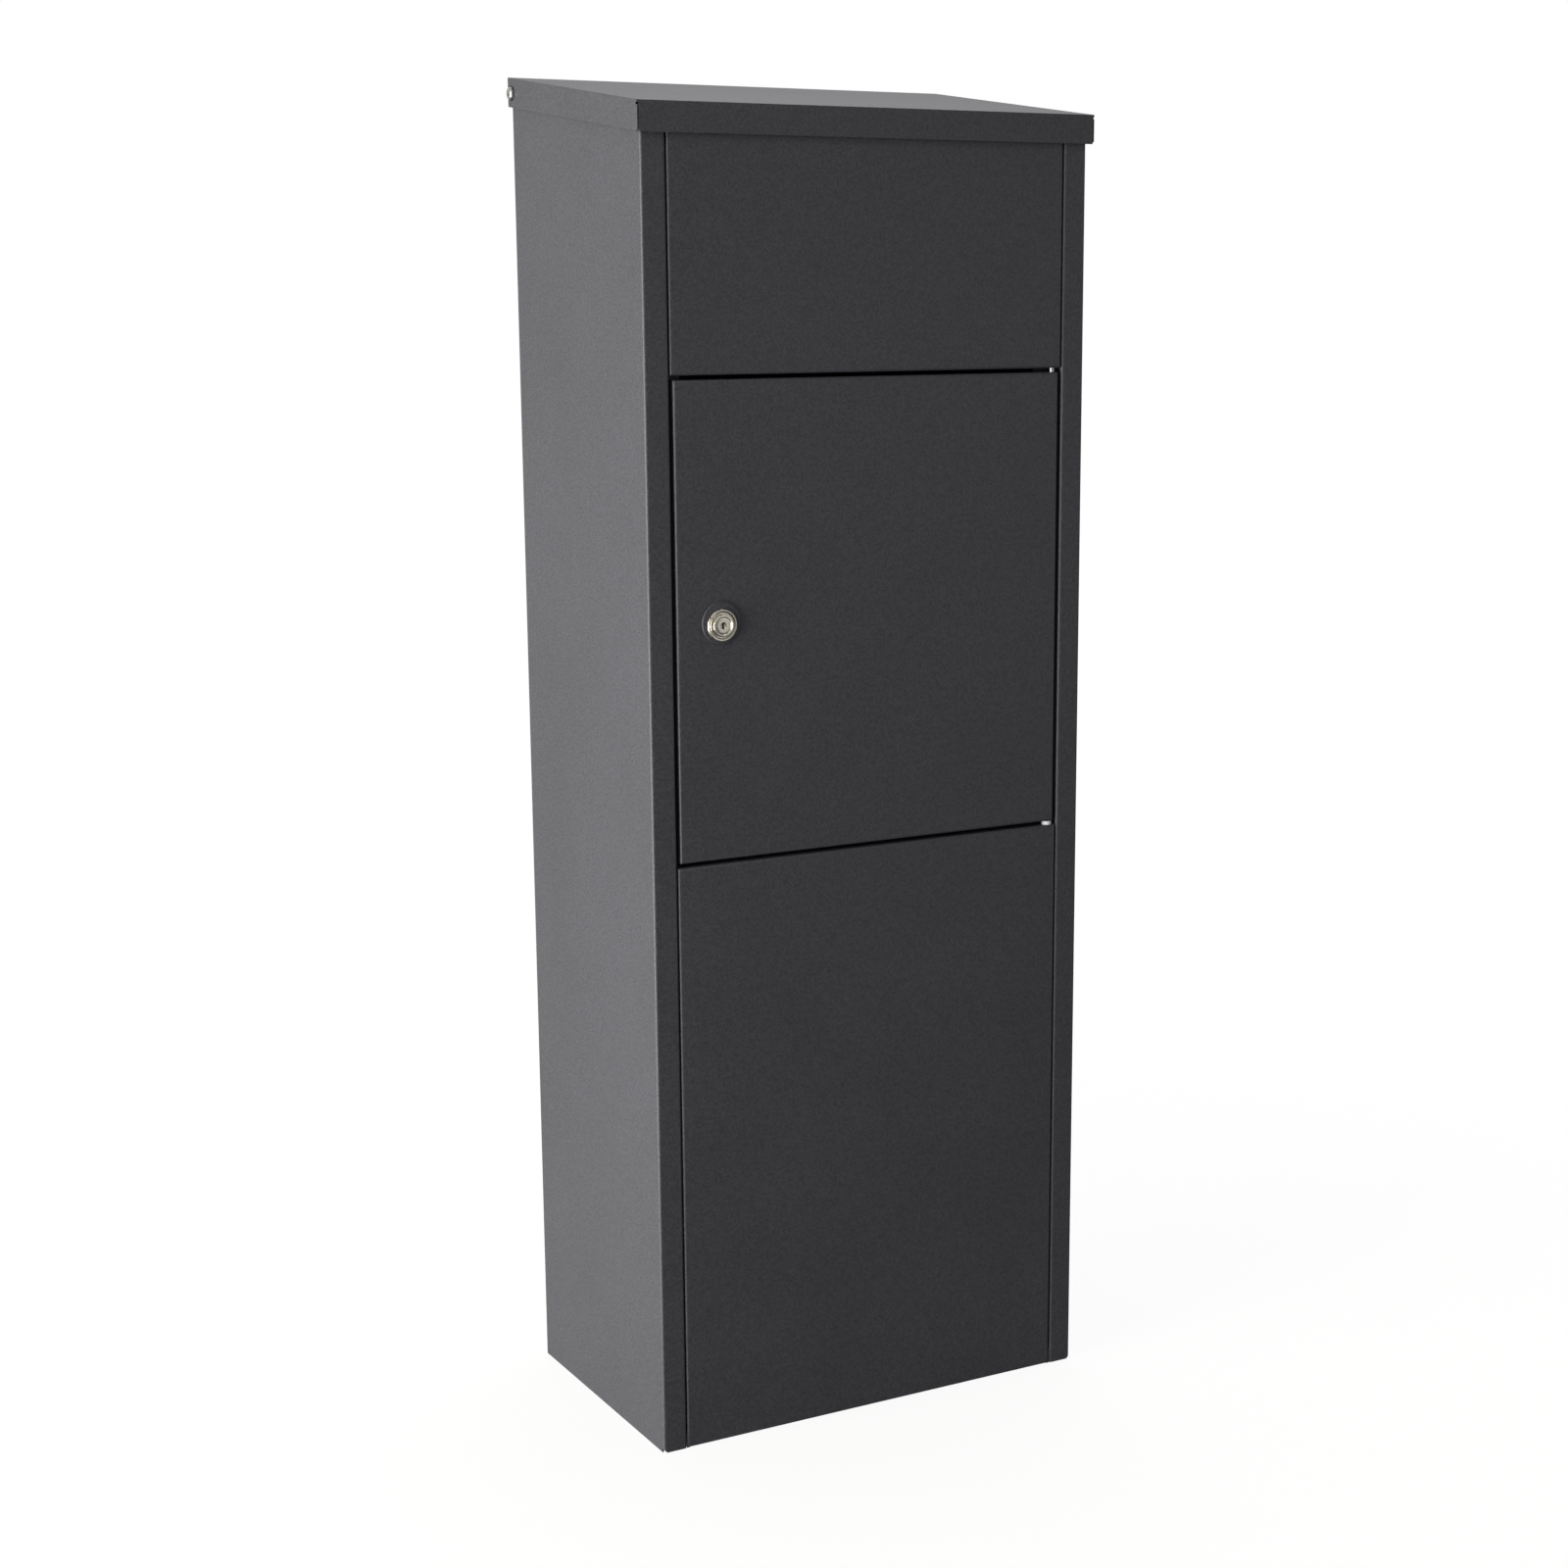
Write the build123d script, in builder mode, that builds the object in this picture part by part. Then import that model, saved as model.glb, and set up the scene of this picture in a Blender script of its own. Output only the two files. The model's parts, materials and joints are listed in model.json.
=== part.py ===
from build123d import *
from math import atan2, cos, radians, sin, sqrt, tan
import os

# Free-standing parcel drop box of folded, powder-coated sheet steel.
# Frame: +Z up, front towards -Y, origin on the floor under the middle of the overall box.
# Parcels go in under the hinged lid and come out through the locked door.

os.makedirs("parts", exist_ok=True)

# ---- Driving dimensions, in millimetres and degrees ----
body_width = 380.0
body_depth = 230.0
overall_height = 1050.0
sheet = 1.2
bend_radius = 2.0

lid_side_overhang = 4.2
lid_front_overhang = 4.6
lid_fall = 31.4
lid_skirt = 22.0
lid_gap = 4.0
corner_notch = 1.6

flange_width = 20.0
rebate_depth = 16.0
stop_flange = 16.0
panel_seam = 0.8
panel_lip = 12.0
seam_tab_height = 12.0
lower_panel_height = 463.8

door_height = 357.0
door_gap = 3.2
door_side_gap = 3.0
door_depth = 12.0
door_lip = 10.0
stiffener_width = 50.0
stiffener_crown = 26.0
stiffener_end_gap = 14.0

pin_diameter = 4.0
pin_inset = 4.0
pin_head_height = 1.6
hinge_block = 8.0
hinge_block_height = 10.0
hinge_washer_diameter = 8.0

pivot_back_inset = 8.0
pivot_drop = 11.5
screw_diameter = 6.0
screw_head_diameter = 10.0
screw_head_height = 2.0
screw_socket = 4.0
screw_washer_diameter = 11.5
screw_washer_thickness = 0.5
spacer_diameter = 12.0
pivot_nut_width = 10.0
pivot_nut_height = 5.0
screw_tail = 2.0

guard_offset = 15.0
guard_flange = 22.0
guard_lip = 8.0
stud_diameter = 5.0
stud_length = 10.0
stud_spacing = 100.0
stud_count = 4
stud_nut_width = 8.0
stud_nut_height = 4.0
lid_open_angle = 75.0
stop_leg = 20.0
stop_length = 25.0
stop_from_tip = 45.0

lock_inset = 36.0
lock_rise = 177.5
collar_diameter = 32.0
collar_rise = 1.6
collar_height = 1.6
lock_head_diameter = 24.4
lock_head_height = 3.4
lock_rim_diameter = 17.0
lock_rim_height = 1.8
barrel_diameter = 19.0
barrel_flats = 16.0
plug_diameter = 12.0
key_slot_width = 1.8
key_slot_height = 5.0
key_slot_depth = 9.0
lock_nut_width = 24.0
lock_nut_height = 4.0
stub_square = 8.0
cam_width = 16.0
cam_thickness = 2.0
cam_screw_diameter = 4.0
cam_screw_head = 8.0
cam_screw_head_height = 2.6
cam_screw_depth = 8.0
cam_washer_diameter = 11.0
cam_washer_thickness = 1.0

rivet_diameter = 4.0
rivet_head_diameter = 8.0
rivet_head_height = 1.4
rivet_tail_diameter = 6.2
rivet_tail_height = 2.0
rivet_end_margin = 40.0
upper_rivets_per_side = 3
lower_rivets_per_side = 4

door_bumper_diameter = 8.0
door_bumper_margin = 50.0
lid_bumper_diameter = 9.0
lid_bumper_spacing = 240.0

base_flange = 20.0
base_corner_relief = 4.0
anchor_hole = 11.0
anchor_spacing_x = 250.0
anchor_spacing_y = 120.0
drain_hole = 8.0
wall_hole = 9.0
wall_hole_spacing_x = 240.0
wall_hole_spacing_z = 700.0
wall_hole_lowest = 180.0

# ---- Clearances ----
running_fit = 0.05
face_gap = 0.15
soft_gap = 0.3
cam_gap = 1.0
guard_side_gap = 12.8
guard_tip_gap = 8.0
back_top_clearance = 0.8

# ---- Places worked out from the driving dimensions ----
half_sheet = sheet / 2
fold_middle_radius = bend_radius - half_sheet
fold_inner_radius = bend_radius - sheet
front_y = lid_front_overhang - (body_depth + lid_front_overhang) / 2
back_y = front_y + body_depth
half_width = body_width / 2
wall_inner = half_width - sheet
opening_half = half_width - flange_width
panel_half = opening_half - panel_seam
door_half = opening_half - door_side_gap
stop_back_y = front_y + rebate_depth + sheet

lid_front_y = front_y - lid_front_overhang
lid_half = half_width + lid_side_overhang
lid_slope = atan2(lid_fall, back_y - lid_front_y)
pivot_y = back_y - pivot_back_inset

door_bottom = lower_panel_height + door_gap
door_top = door_bottom + door_height
upper_panel_bottom = door_top + door_gap
pin_x = door_half - pin_inset
pin_y = front_y + pin_inset
lock_x = lock_inset - door_half
lock_height = door_bottom + lock_rise
cam_length = lock_inset + door_side_gap
cam_front_y = stop_back_y + cam_gap
barrel_back_y = cam_front_y - face_gap


def below_lid(y, depth=0.0):
    """Height of the plane that lies depth under the top face of the closed lid."""
    return overall_height - (back_y - y) * tan(lid_slope) - depth / cos(lid_slope)


pivot_z = below_lid(pivot_y) - pivot_drop
under_lid = Plane(
    origin=(0, pivot_y, below_lid(pivot_y, sheet)),
    x_dir=(1, 0, 0),
    z_dir=(0, -sin(lid_slope), cos(lid_slope)),
)
wall_top = Plane(
    origin=(0, front_y, below_lid(front_y, sheet + lid_gap)),
    x_dir=(1, 0, 0),
    z_dir=(0, -sin(lid_slope), cos(lid_slope)),
)
pivot_to_lid = pivot_drop * cos(lid_slope) - sheet
back_panel_top = pivot_z + sqrt(pivot_to_lid**2 - pivot_back_inset**2) - back_top_clearance
wall_back_corner = Plane(origin=(0, back_y, back_panel_top), x_dir=(1, 0, 0), z_dir=(0, 1, 1))

left_and_right = ((-1, "left"), (1, "right"))


def folded_section(*points):
    """Section of a folded sheet, drawn along the middle of its thickness."""
    with BuildSketch() as section:
        with BuildLine():
            FilletPolyline(*points, radius=fold_middle_radius)
        trace(line_width=sheet)
    return section.sketch


def folded_pan(half, bottom, front_top, back_top, depth, lip):
    """Panel folded back on all four sides, with a lip turned in around its open back."""
    pan_back_y = front_y + depth
    middle = (bottom + back_top) / 2
    with BuildPart() as pan:
        with BuildSketch(Plane.YZ):
            with BuildLine():
                Polyline(
                    (front_y, bottom),
                    (pan_back_y, bottom),
                    (pan_back_y, back_top),
                    (front_y, front_top),
                    close=True,
                )
            make_face()
        extrude(amount=half, both=True)
        fillet(pan.faces().sort_by(Axis.Y)[0].edges(), bend_radius)
        offset(amount=-sheet, openings=pan.faces().sort_by(Axis.Y)[-1])
        with BuildSketch(Plane.XZ.offset(-pan_back_y)):
            with Locations((0, middle)):
                Rectangle(2 * half, back_top - bottom)
                Rectangle(2 * (half - lip), back_top - bottom - 2 * lip, mode=Mode.SUBTRACT)
        extrude(amount=sheet)
    return pan.part


def rivet_places(low, high, count):
    """Rivet centres on both sides of the opening, as X and Z, evenly spread."""
    step = (high - low - 2 * rivet_end_margin) / (count - 1)
    x = panel_half - panel_lip / 2
    return [(side * x, low + rivet_end_margin + i * step) for side in (-1, 1) for i in range(count)]


upper_front_top = below_lid(front_y, sheet + lid_gap)
upper_back_top = below_lid(front_y + rebate_depth, sheet + lid_gap)
upper_rivets = rivet_places(upper_panel_bottom, upper_back_top, upper_rivets_per_side)
lower_rivets = rivet_places(0, lower_panel_height, lower_rivets_per_side)
rivet_hole_radius = rivet_diameter / 2 + running_fit
pin_hole_radius = pin_diameter / 2 + running_fit
screw_hole_radius = screw_diameter / 2 + running_fit
stud_hole_radius = stud_diameter / 2 + running_fit

# ---- Housing: side panels ----
# Each is one sheet: wall, front flange, rebate and a stop flange that the door closes against.
for side, name in left_and_right:
    with BuildPart() as side_panel:
        with BuildSketch():
            add(
                folded_section(
                    (side * (half_width - half_sheet), back_y),
                    (side * (half_width - half_sheet), front_y + half_sheet),
                    (side * (opening_half + half_sheet), front_y + half_sheet),
                    (side * (opening_half + half_sheet), stop_back_y - half_sheet),
                    (side * (opening_half - stop_flange), stop_back_y - half_sheet),
                )
            )
        extrude(amount=overall_height)
        split(bisect_by=wall_top, keep=Keep.BOTTOM)
        # The back corner is cut off so that the opening lid clears it.
        split(bisect_by=wall_back_corner, keep=Keep.BOTTOM)
        with BuildSketch(Plane.YZ.offset(side * half_width)):
            with Locations((pivot_y, pivot_z)):
                Circle(screw_hole_radius)
        extrude(amount=-side * 2 * sheet, mode=Mode.SUBTRACT)
        with BuildSketch(Plane.XZ.offset(-stop_back_y)):
            with Locations(*[place for place in upper_rivets + lower_rivets if place[0] * side > 0]):
                Circle(rivet_hole_radius)
        extrude(amount=2 * sheet, both=True, mode=Mode.SUBTRACT)
    side_panel.part.label = f"{name}_side_panel"
    export_step(side_panel.part, f"parts/{name}_side_panel.step")

# ---- Housing: flat back panel between the side walls, seam welded to them along its edges ----
with BuildPart() as back_panel:
    with BuildSketch(Plane.XZ.offset(-back_y)):
        with Locations((0, back_panel_top / 2)):
            Rectangle(2 * wall_inner, back_panel_top)
        with Locations((0, wall_hole_lowest + wall_hole_spacing_z / 2)):
            with GridLocations(wall_hole_spacing_x, wall_hole_spacing_z, 2, 2):
                Circle(wall_hole / 2, mode=Mode.SUBTRACT)
    extrude(amount=sheet)
back_panel.part.label = "back_panel"
export_step(back_panel.part, "parts/back_panel.step")

# ---- Housing: base tray, between the walls, the stop flanges and the back panel ----
base_length = back_y - sheet - stop_back_y
base_middle_y = stop_back_y + base_length / 2
with BuildPart() as base_tray:
    with BuildSketch():
        with Locations((0, base_middle_y)):
            Rectangle(2 * wall_inner, base_length)
    extrude(amount=base_flange)
    fillet(base_tray.faces().sort_by(Axis.Z)[0].edges(), bend_radius)
    offset(amount=-sheet, openings=base_tray.faces().sort_by(Axis.Z)[-1])
    # Reliefs at the corners, where the four flanges fold up from one flat sheet.
    with BuildSketch():
        with Locations((0, base_middle_y)):
            with GridLocations(2 * wall_inner, base_length, 2, 2):
                Rectangle(2 * base_corner_relief, 2 * base_corner_relief)
    extrude(amount=base_flange, mode=Mode.SUBTRACT)
    with BuildSketch():
        with Locations((0, base_middle_y)):
            with GridLocations(anchor_spacing_x, anchor_spacing_y, 2, 2):
                Circle(anchor_hole / 2)
            with GridLocations(anchor_spacing_x / 2, anchor_spacing_y, 2, 1):
                Circle(drain_hole / 2)
    extrude(amount=2 * sheet, mode=Mode.SUBTRACT)
base_tray.part.label = "base_tray"
export_step(base_tray.part, "parts/base_tray.step")

# ---- Housing: fixed front panels above and below the door ----
with BuildPart() as upper_front_panel:
    add(
        folded_pan(
            panel_half, upper_panel_bottom, upper_front_top, upper_back_top, rebate_depth, panel_lip
        )
    )
    with BuildSketch(Plane.XZ.offset(-front_y - rebate_depth)):
        with Locations(*upper_rivets):
            Circle(rivet_hole_radius)
    extrude(amount=2 * sheet, both=True, mode=Mode.SUBTRACT)
    with BuildSketch(Plane.XY.offset(upper_panel_bottom)):
        with Locations((pin_x, pin_y)):
            Circle(pin_hole_radius)
    extrude(amount=sheet, mode=Mode.SUBTRACT)
upper_front_panel.part.label = "upper_front_panel"
export_step(upper_front_panel.part, "parts/upper_front_panel.step")

with BuildPart() as lower_front_panel:
    add(
        folded_pan(
            panel_half, 0, lower_panel_height, lower_panel_height, rebate_depth, panel_lip
        )
    )
    # Tabs close the side seams at the floor.
    with BuildSketch(Plane.XZ.offset(-front_y - sheet)):
        with Locations((0, seam_tab_height / 2)):
            Rectangle(2 * opening_half, seam_tab_height)
            Rectangle(2 * (panel_half - bend_radius), seam_tab_height, mode=Mode.SUBTRACT)
    extrude(amount=half_sheet)
    with BuildSketch(Plane.XZ.offset(-front_y - rebate_depth)):
        with Locations(*lower_rivets):
            Circle(rivet_hole_radius)
    extrude(amount=2 * sheet, both=True, mode=Mode.SUBTRACT)
    with BuildSketch(Plane.XY.offset(lower_panel_height)):
        with Locations((pin_x, pin_y)):
            Circle(pin_hole_radius)
    extrude(amount=-sheet, mode=Mode.SUBTRACT)
lower_front_panel.part.label = "lower_front_panel"
export_step(lower_front_panel.part, "parts/lower_front_panel.step")

# ---- Housing: blind rivets that join each front panel's lips to the stop flanges ----
for name, places in (("upper", upper_rivets), ("lower", lower_rivets)):
    with BuildPart() as panel_rivets:
        with BuildSketch(Plane.XZ.offset(-stop_back_y - rivet_tail_height)):
            with Locations(*places):
                Circle(rivet_diameter / 2)
        extrude(amount=rivet_tail_height + 2 * sheet + rivet_head_height)
        with BuildSketch(Plane.XZ.offset(sheet - front_y - rebate_depth)):
            with Locations(*places):
                Circle(rivet_head_diameter / 2)
        extrude(amount=rivet_head_height, taper=35)
        with BuildSketch(Plane.XZ.offset(-stop_back_y)):
            with Locations(*places):
                Circle(rivet_tail_diameter / 2)
        extrude(amount=-rivet_tail_height)
    panel_rivets.part.label = f"{name}_panel_rivets"
    export_step(panel_rivets.part, f"parts/{name}_panel_rivets.step")

# ---- Door hinge: a pin above and a pin below, each through a pair of bored blocks ----
block_middle_x = door_half - sheet - hinge_block / 2
panel_block_middle_x = panel_half - sheet - hinge_block / 2
block_middle_y = front_y + sheet + hinge_block / 2
panel_block_levels = (
    lower_panel_height - sheet - hinge_block_height,
    upper_panel_bottom + sheet,
)
door_block_levels = (door_bottom + sheet, door_top - sheet - hinge_block_height)
for name, middle_x, levels in (
    ("panel", panel_block_middle_x, panel_block_levels),
    ("door", block_middle_x, door_block_levels),
):
    with BuildPart() as hinge_blocks:
        for level in levels:
            with BuildSketch(Plane.XY.offset(level)):
                with Locations((middle_x, block_middle_y)):
                    Rectangle(hinge_block, hinge_block)
            extrude(amount=hinge_block_height)
        chamfer(hinge_blocks.edges(), fold_inner_radius)
        for level in levels:
            with BuildSketch(Plane.XY.offset(level)):
                with Locations((pin_x, pin_y)):
                    Circle(pin_hole_radius)
            extrude(amount=hinge_block_height, mode=Mode.SUBTRACT)
    hinge_blocks.part.label = f"{name}_hinge_blocks"
    export_step(hinge_blocks.part, f"parts/{name}_hinge_blocks.step")

pin_reach = hinge_block_height + sheet
pin_head_radius = pin_inset - sheet - 2 * running_fit
for name, panel_edge, away in (
    ("lower", lower_panel_height, -1),
    ("upper", upper_panel_bottom, 1),
):
    with BuildPart() as hinge_pin:
        with BuildSketch(Plane.XY.offset(panel_edge - away * (door_gap + pin_reach))):
            with Locations((pin_x, pin_y)):
                Circle(pin_diameter / 2)
        extrude(amount=away * (2 * pin_reach + door_gap))
        with BuildSketch(Plane.XY.offset(panel_edge + away * pin_reach)):
            with Locations((pin_x, pin_y)):
                Circle(pin_head_radius)
        extrude(amount=away * pin_head_height)
    hinge_pin.part.label = f"{name}_hinge_pin"
    export_step(hinge_pin.part, f"parts/{name}_hinge_pin.step")

# The door's weight rests on a nylon washer round the lower pin.
with BuildPart() as hinge_washer:
    with BuildSketch(Plane.XY.offset(lower_panel_height)):
        with Locations((pin_x, pin_y)):
            Circle(hinge_washer_diameter / 2)
            Circle(pin_hole_radius, mode=Mode.SUBTRACT)
    extrude(amount=door_gap - soft_gap)
hinge_washer.part.label = "hinge_washer"
export_step(hinge_washer.part, "parts/hinge_washer.step")

# ---- Rubber bumpers for the door, on the left stop flange, and for the lid ----
with BuildPart() as door_bumpers:
    bumper_x = (door_lip / 2) - door_half
    with BuildSketch(Plane.XZ.offset(-front_y - rebate_depth)):
        with Locations(
            (bumper_x, door_bottom + door_bumper_margin), (bumper_x, door_top - door_bumper_margin)
        ):
            Circle(door_bumper_diameter / 2)
    extrude(amount=rebate_depth - door_depth - soft_gap)
door_bumpers.part.label = "door_bumpers"
export_step(door_bumpers.part, "parts/door_bumpers.step")

with BuildPart() as lid_bumpers:
    bumper_reach = rebate_depth / 2 / cos(lid_slope)
    with BuildSketch(wall_top):
        with Locations((-lid_bumper_spacing / 2, bumper_reach), (lid_bumper_spacing / 2, bumper_reach)):
            Circle(lid_bumper_diameter / 2)
    extrude(amount=lid_gap - soft_gap)
lid_bumpers.part.label = "lid_bumpers"
export_step(lid_bumpers.part, "parts/lid_bumpers.step")

# ---- Lid: sloping tray, open at the back, with skirts at the front and sides ----
def lid_block(inset):
    """The lid's outer shape, set in at the top, front and sides and run past the back and bottom."""
    block_front_y = lid_front_y + inset
    block_back_y = back_y + inset
    with BuildPart() as block:
        with BuildSketch(Plane.YZ):
            with BuildLine():
                Polyline(
                    (block_front_y, below_lid(block_front_y, inset)),
                    (block_back_y, below_lid(block_back_y, inset)),
                    (block_back_y, below_lid(block_back_y) - lid_skirt - inset),
                    (block_front_y, below_lid(block_front_y) - lid_skirt - inset),
                    close=True,
                )
            make_face()
        extrude(amount=lid_half - inset, both=True)
        top_edges = block.faces().sort_by(Axis.Z)[-1].edges()
        fillet(top_edges.sort_by(Axis.Y)[:-1], bend_radius - inset)
    return block.part


with BuildPart() as lid_panel:
    add(lid_block(0))
    add(lid_block(sheet), mode=Mode.SUBTRACT)
    with BuildSketch(Plane.YZ.offset(-lid_half)):
        with Locations((pivot_y, pivot_z)):
            Circle(screw_hole_radius)
    extrude(amount=2 * lid_half, mode=Mode.SUBTRACT)
    # Relief notches at the lower ends of the two front corners.
    with BuildSketch(Plane.XY.offset(below_lid(lid_front_y) - lid_skirt)):
        with Locations((-lid_half, lid_front_y), (lid_half, lid_front_y)):
            Rectangle(2 * corner_notch, 2 * corner_notch)
    extrude(amount=corner_notch, mode=Mode.SUBTRACT)
lid_panel.part.label = "lid_panel"
export_step(lid_panel.part, "parts/lid_panel.step")

# ---- Lid pivot: button-head screws, washers, nylon spacers and lock nuts ----
washer_face = lid_half + face_gap
head_face = washer_face + screw_washer_thickness
with BuildPart() as pivot_screws:
    for side, name in left_and_right:
        with BuildSketch(Plane.YZ.offset(side * head_face)):
            with Locations((pivot_y, pivot_z)):
                Circle(screw_head_diameter / 2)
        extrude(amount=side * screw_head_height)
        outer_face = pivot_screws.faces().sort_by(Axis.X)[-1 if side > 0 else 0]
        fillet(outer_face.edges(), screw_head_height - half_sheet)
        with BuildSketch(Plane.YZ.offset(side * (head_face + screw_head_height))):
            with Locations((pivot_y, pivot_z)):
                RegularPolygon(screw_socket / 2, 6, major_radius=False)
        extrude(amount=-side * (screw_head_height - half_sheet), mode=Mode.SUBTRACT)
        with BuildSketch(Plane.YZ.offset(side * head_face)):
            with Locations((pivot_y, pivot_z)):
                Circle(screw_diameter / 2)
        extrude(amount=-side * (head_face - wall_inner + pivot_nut_height + screw_tail))
pivot_screws.part.label = "pivot_screws"
export_step(pivot_screws.part, "parts/pivot_screws.step")

for name, start, thickness, diameter in (
    ("pivot_washers", washer_face, screw_washer_thickness, screw_washer_diameter),
    ("pivot_spacers", half_width, lid_side_overhang - sheet - face_gap, spacer_diameter),
):
    with BuildPart() as pivot_rings:
        for side in (-1, 1):
            with BuildSketch(Plane.YZ.offset(side * start)):
                with Locations((pivot_y, pivot_z)):
                    Circle(diameter / 2)
                    Circle(screw_hole_radius, mode=Mode.SUBTRACT)
            extrude(amount=side * thickness)
    pivot_rings.part.label = name
    export_step(pivot_rings.part, f"parts/{name}.step")

with BuildPart() as pivot_nuts:
    for side in (-1, 1):
        with BuildSketch(Plane.YZ.offset(side * wall_inner)):
            with Locations((pivot_y, pivot_z)):
                RegularPolygon(pivot_nut_width / 2, 6, major_radius=False)
                Circle(screw_hole_radius, mode=Mode.SUBTRACT)
        extrude(amount=-side * pivot_nut_height)
pivot_nuts.part.label = "pivot_nuts"
export_step(pivot_nuts.part, "parts/pivot_nuts.step")

# ---- Guard plate under the lid: it swings forward and bars the chamber when the lid opens ----
guard_y = pivot_y - guard_offset
guard_flange_depth = sheet + half_sheet
guard_half = wall_inner - guard_side_gap
# The tip's turning circle clears the stop flanges by guard_tip_gap.
guard_tip_radius = pivot_y - stop_back_y - guard_tip_gap
guard_length = sqrt(guard_tip_radius**2 - (guard_offset + guard_lip) ** 2) - half_sheet
stud_places = [
    (stud_spacing * (i - (stud_count - 1) / 2), -guard_offset - guard_flange / 2)
    for i in range(stud_count)
]
with BuildPart() as guard_plate:
    with BuildSketch(Plane.YZ):
        add(
            folded_section(
                (guard_y - guard_flange, below_lid(guard_y - guard_flange, guard_flange_depth)),
                (guard_y, below_lid(guard_y, guard_flange_depth)),
                (guard_y, pivot_z - guard_length),
                (guard_y - guard_lip, pivot_z - guard_length),
            )
        )
    extrude(amount=guard_half, both=True)
    with BuildSketch(under_lid):
        with Locations(*stud_places):
            Circle(stud_hole_radius)
    extrude(amount=-2 * sheet, mode=Mode.SUBTRACT)
guard_plate.part.label = "guard_plate"
export_step(guard_plate.part, "parts/guard_plate.step")

with BuildPart() as guard_studs:
    with BuildSketch(under_lid):
        with Locations(*stud_places):
            Circle(stud_diameter / 2)
    extrude(amount=-stud_length)
guard_studs.part.label = "guard_studs"
export_step(guard_studs.part, "parts/guard_studs.step")

with BuildPart() as guard_nuts:
    with BuildSketch(under_lid.offset(-sheet)):
        with Locations(*stud_places):
            RegularPolygon(stud_nut_width / 2, 6, major_radius=False)
            Circle(stud_hole_radius, mode=Mode.SUBTRACT)
    extrude(amount=-stud_nut_height)
guard_nuts.part.label = "guard_nuts"
export_step(guard_nuts.part, "parts/guard_nuts.step")

# ---- Lid stops: angle brackets welded to the walls, met by the guard when the lid is open ----
# At the open angle the guard's upper face passes through stop_point, tilted up to the back.
open_turn = radians(lid_open_angle)
stop_distance = guard_length - stop_from_tip
guard_face = guard_offset + half_sheet + soft_gap
stop_point = (
    0,
    pivot_y - guard_face * cos(open_turn) - stop_distance * sin(open_turn),
    pivot_z + guard_face * sin(open_turn) - stop_distance * cos(open_turn),
)
stop_plane = Plane(origin=stop_point, x_dir=(1, 0, 0), z_dir=(0, sin(open_turn), cos(open_turn)))
with BuildPart() as lid_stop_brackets:
    with BuildSketch(stop_plane):
        for side in (-1, 1):
            add(
                folded_section(
                    (side * (wall_inner - stop_leg), -half_sheet),
                    (side * (wall_inner - half_sheet), -half_sheet),
                    (side * (wall_inner - half_sheet), stop_leg),
                )
            )
    extrude(amount=stop_length / 2, both=True)
lid_stop_brackets.part.label = "lid_stop_brackets"
export_step(lid_stop_brackets.part, "parts/lid_stop_brackets.step")

# ---- Door: folded pan with a hat stiffener behind its face ----
with BuildPart() as door_panel:
    add(folded_pan(door_half, door_bottom, door_top, door_top, door_depth, door_lip))
    with BuildSketch(Plane.XZ.offset(-front_y)):
        with Locations((lock_x, lock_height)):
            Circle(barrel_diameter / 2 + running_fit)
            Rectangle(barrel_flats + 2 * running_fit, barrel_diameter * 2, mode=Mode.INTERSECT)
    extrude(amount=-2 * sheet, mode=Mode.SUBTRACT)
    with BuildSketch(Plane.XY.offset(door_bottom)):
        with Locations((pin_x, pin_y)):
            Circle(pin_hole_radius)
    extrude(amount=door_height, mode=Mode.SUBTRACT)
door_panel.part.label = "door_panel"
export_step(door_panel.part, "parts/door_panel.step")

face_back = front_y + sheet + half_sheet
crown_back = front_y + door_depth - sheet - half_sheet
with BuildPart() as door_stiffener:
    with BuildSketch(Plane.XY.offset(door_bottom + stiffener_end_gap)):
        add(
            folded_section(
                (-stiffener_width / 2, face_back),
                (-stiffener_crown / 2, face_back),
                (-stiffener_crown / 2, crown_back),
                (stiffener_crown / 2, crown_back),
                (stiffener_crown / 2, face_back),
                (stiffener_width / 2, face_back),
            )
        )
    extrude(amount=door_height - 2 * stiffener_end_gap)
door_stiffener.part.label = "door_stiffener"
export_step(door_stiffener.part, "parts/door_stiffener.step")

# ---- Lock: collar and barrel fixed in the door, plug and cam that turn ----
with BuildPart() as lock_collar:
    with BuildSketch(Plane.XZ.offset(-front_y)):
        with Locations((lock_x, lock_height + collar_rise)):
            Circle(collar_diameter / 2)
        with Locations((lock_x, lock_height)):
            Circle(lock_head_diameter / 2 + running_fit, mode=Mode.SUBTRACT)
    extrude(amount=collar_height)
    fillet(lock_collar.faces().sort_by(Axis.Y)[0].outer_wire().edges(), collar_height / 2)
lock_collar.part.label = "lock_collar"
export_step(lock_collar.part, "parts/lock_collar.step")

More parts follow.
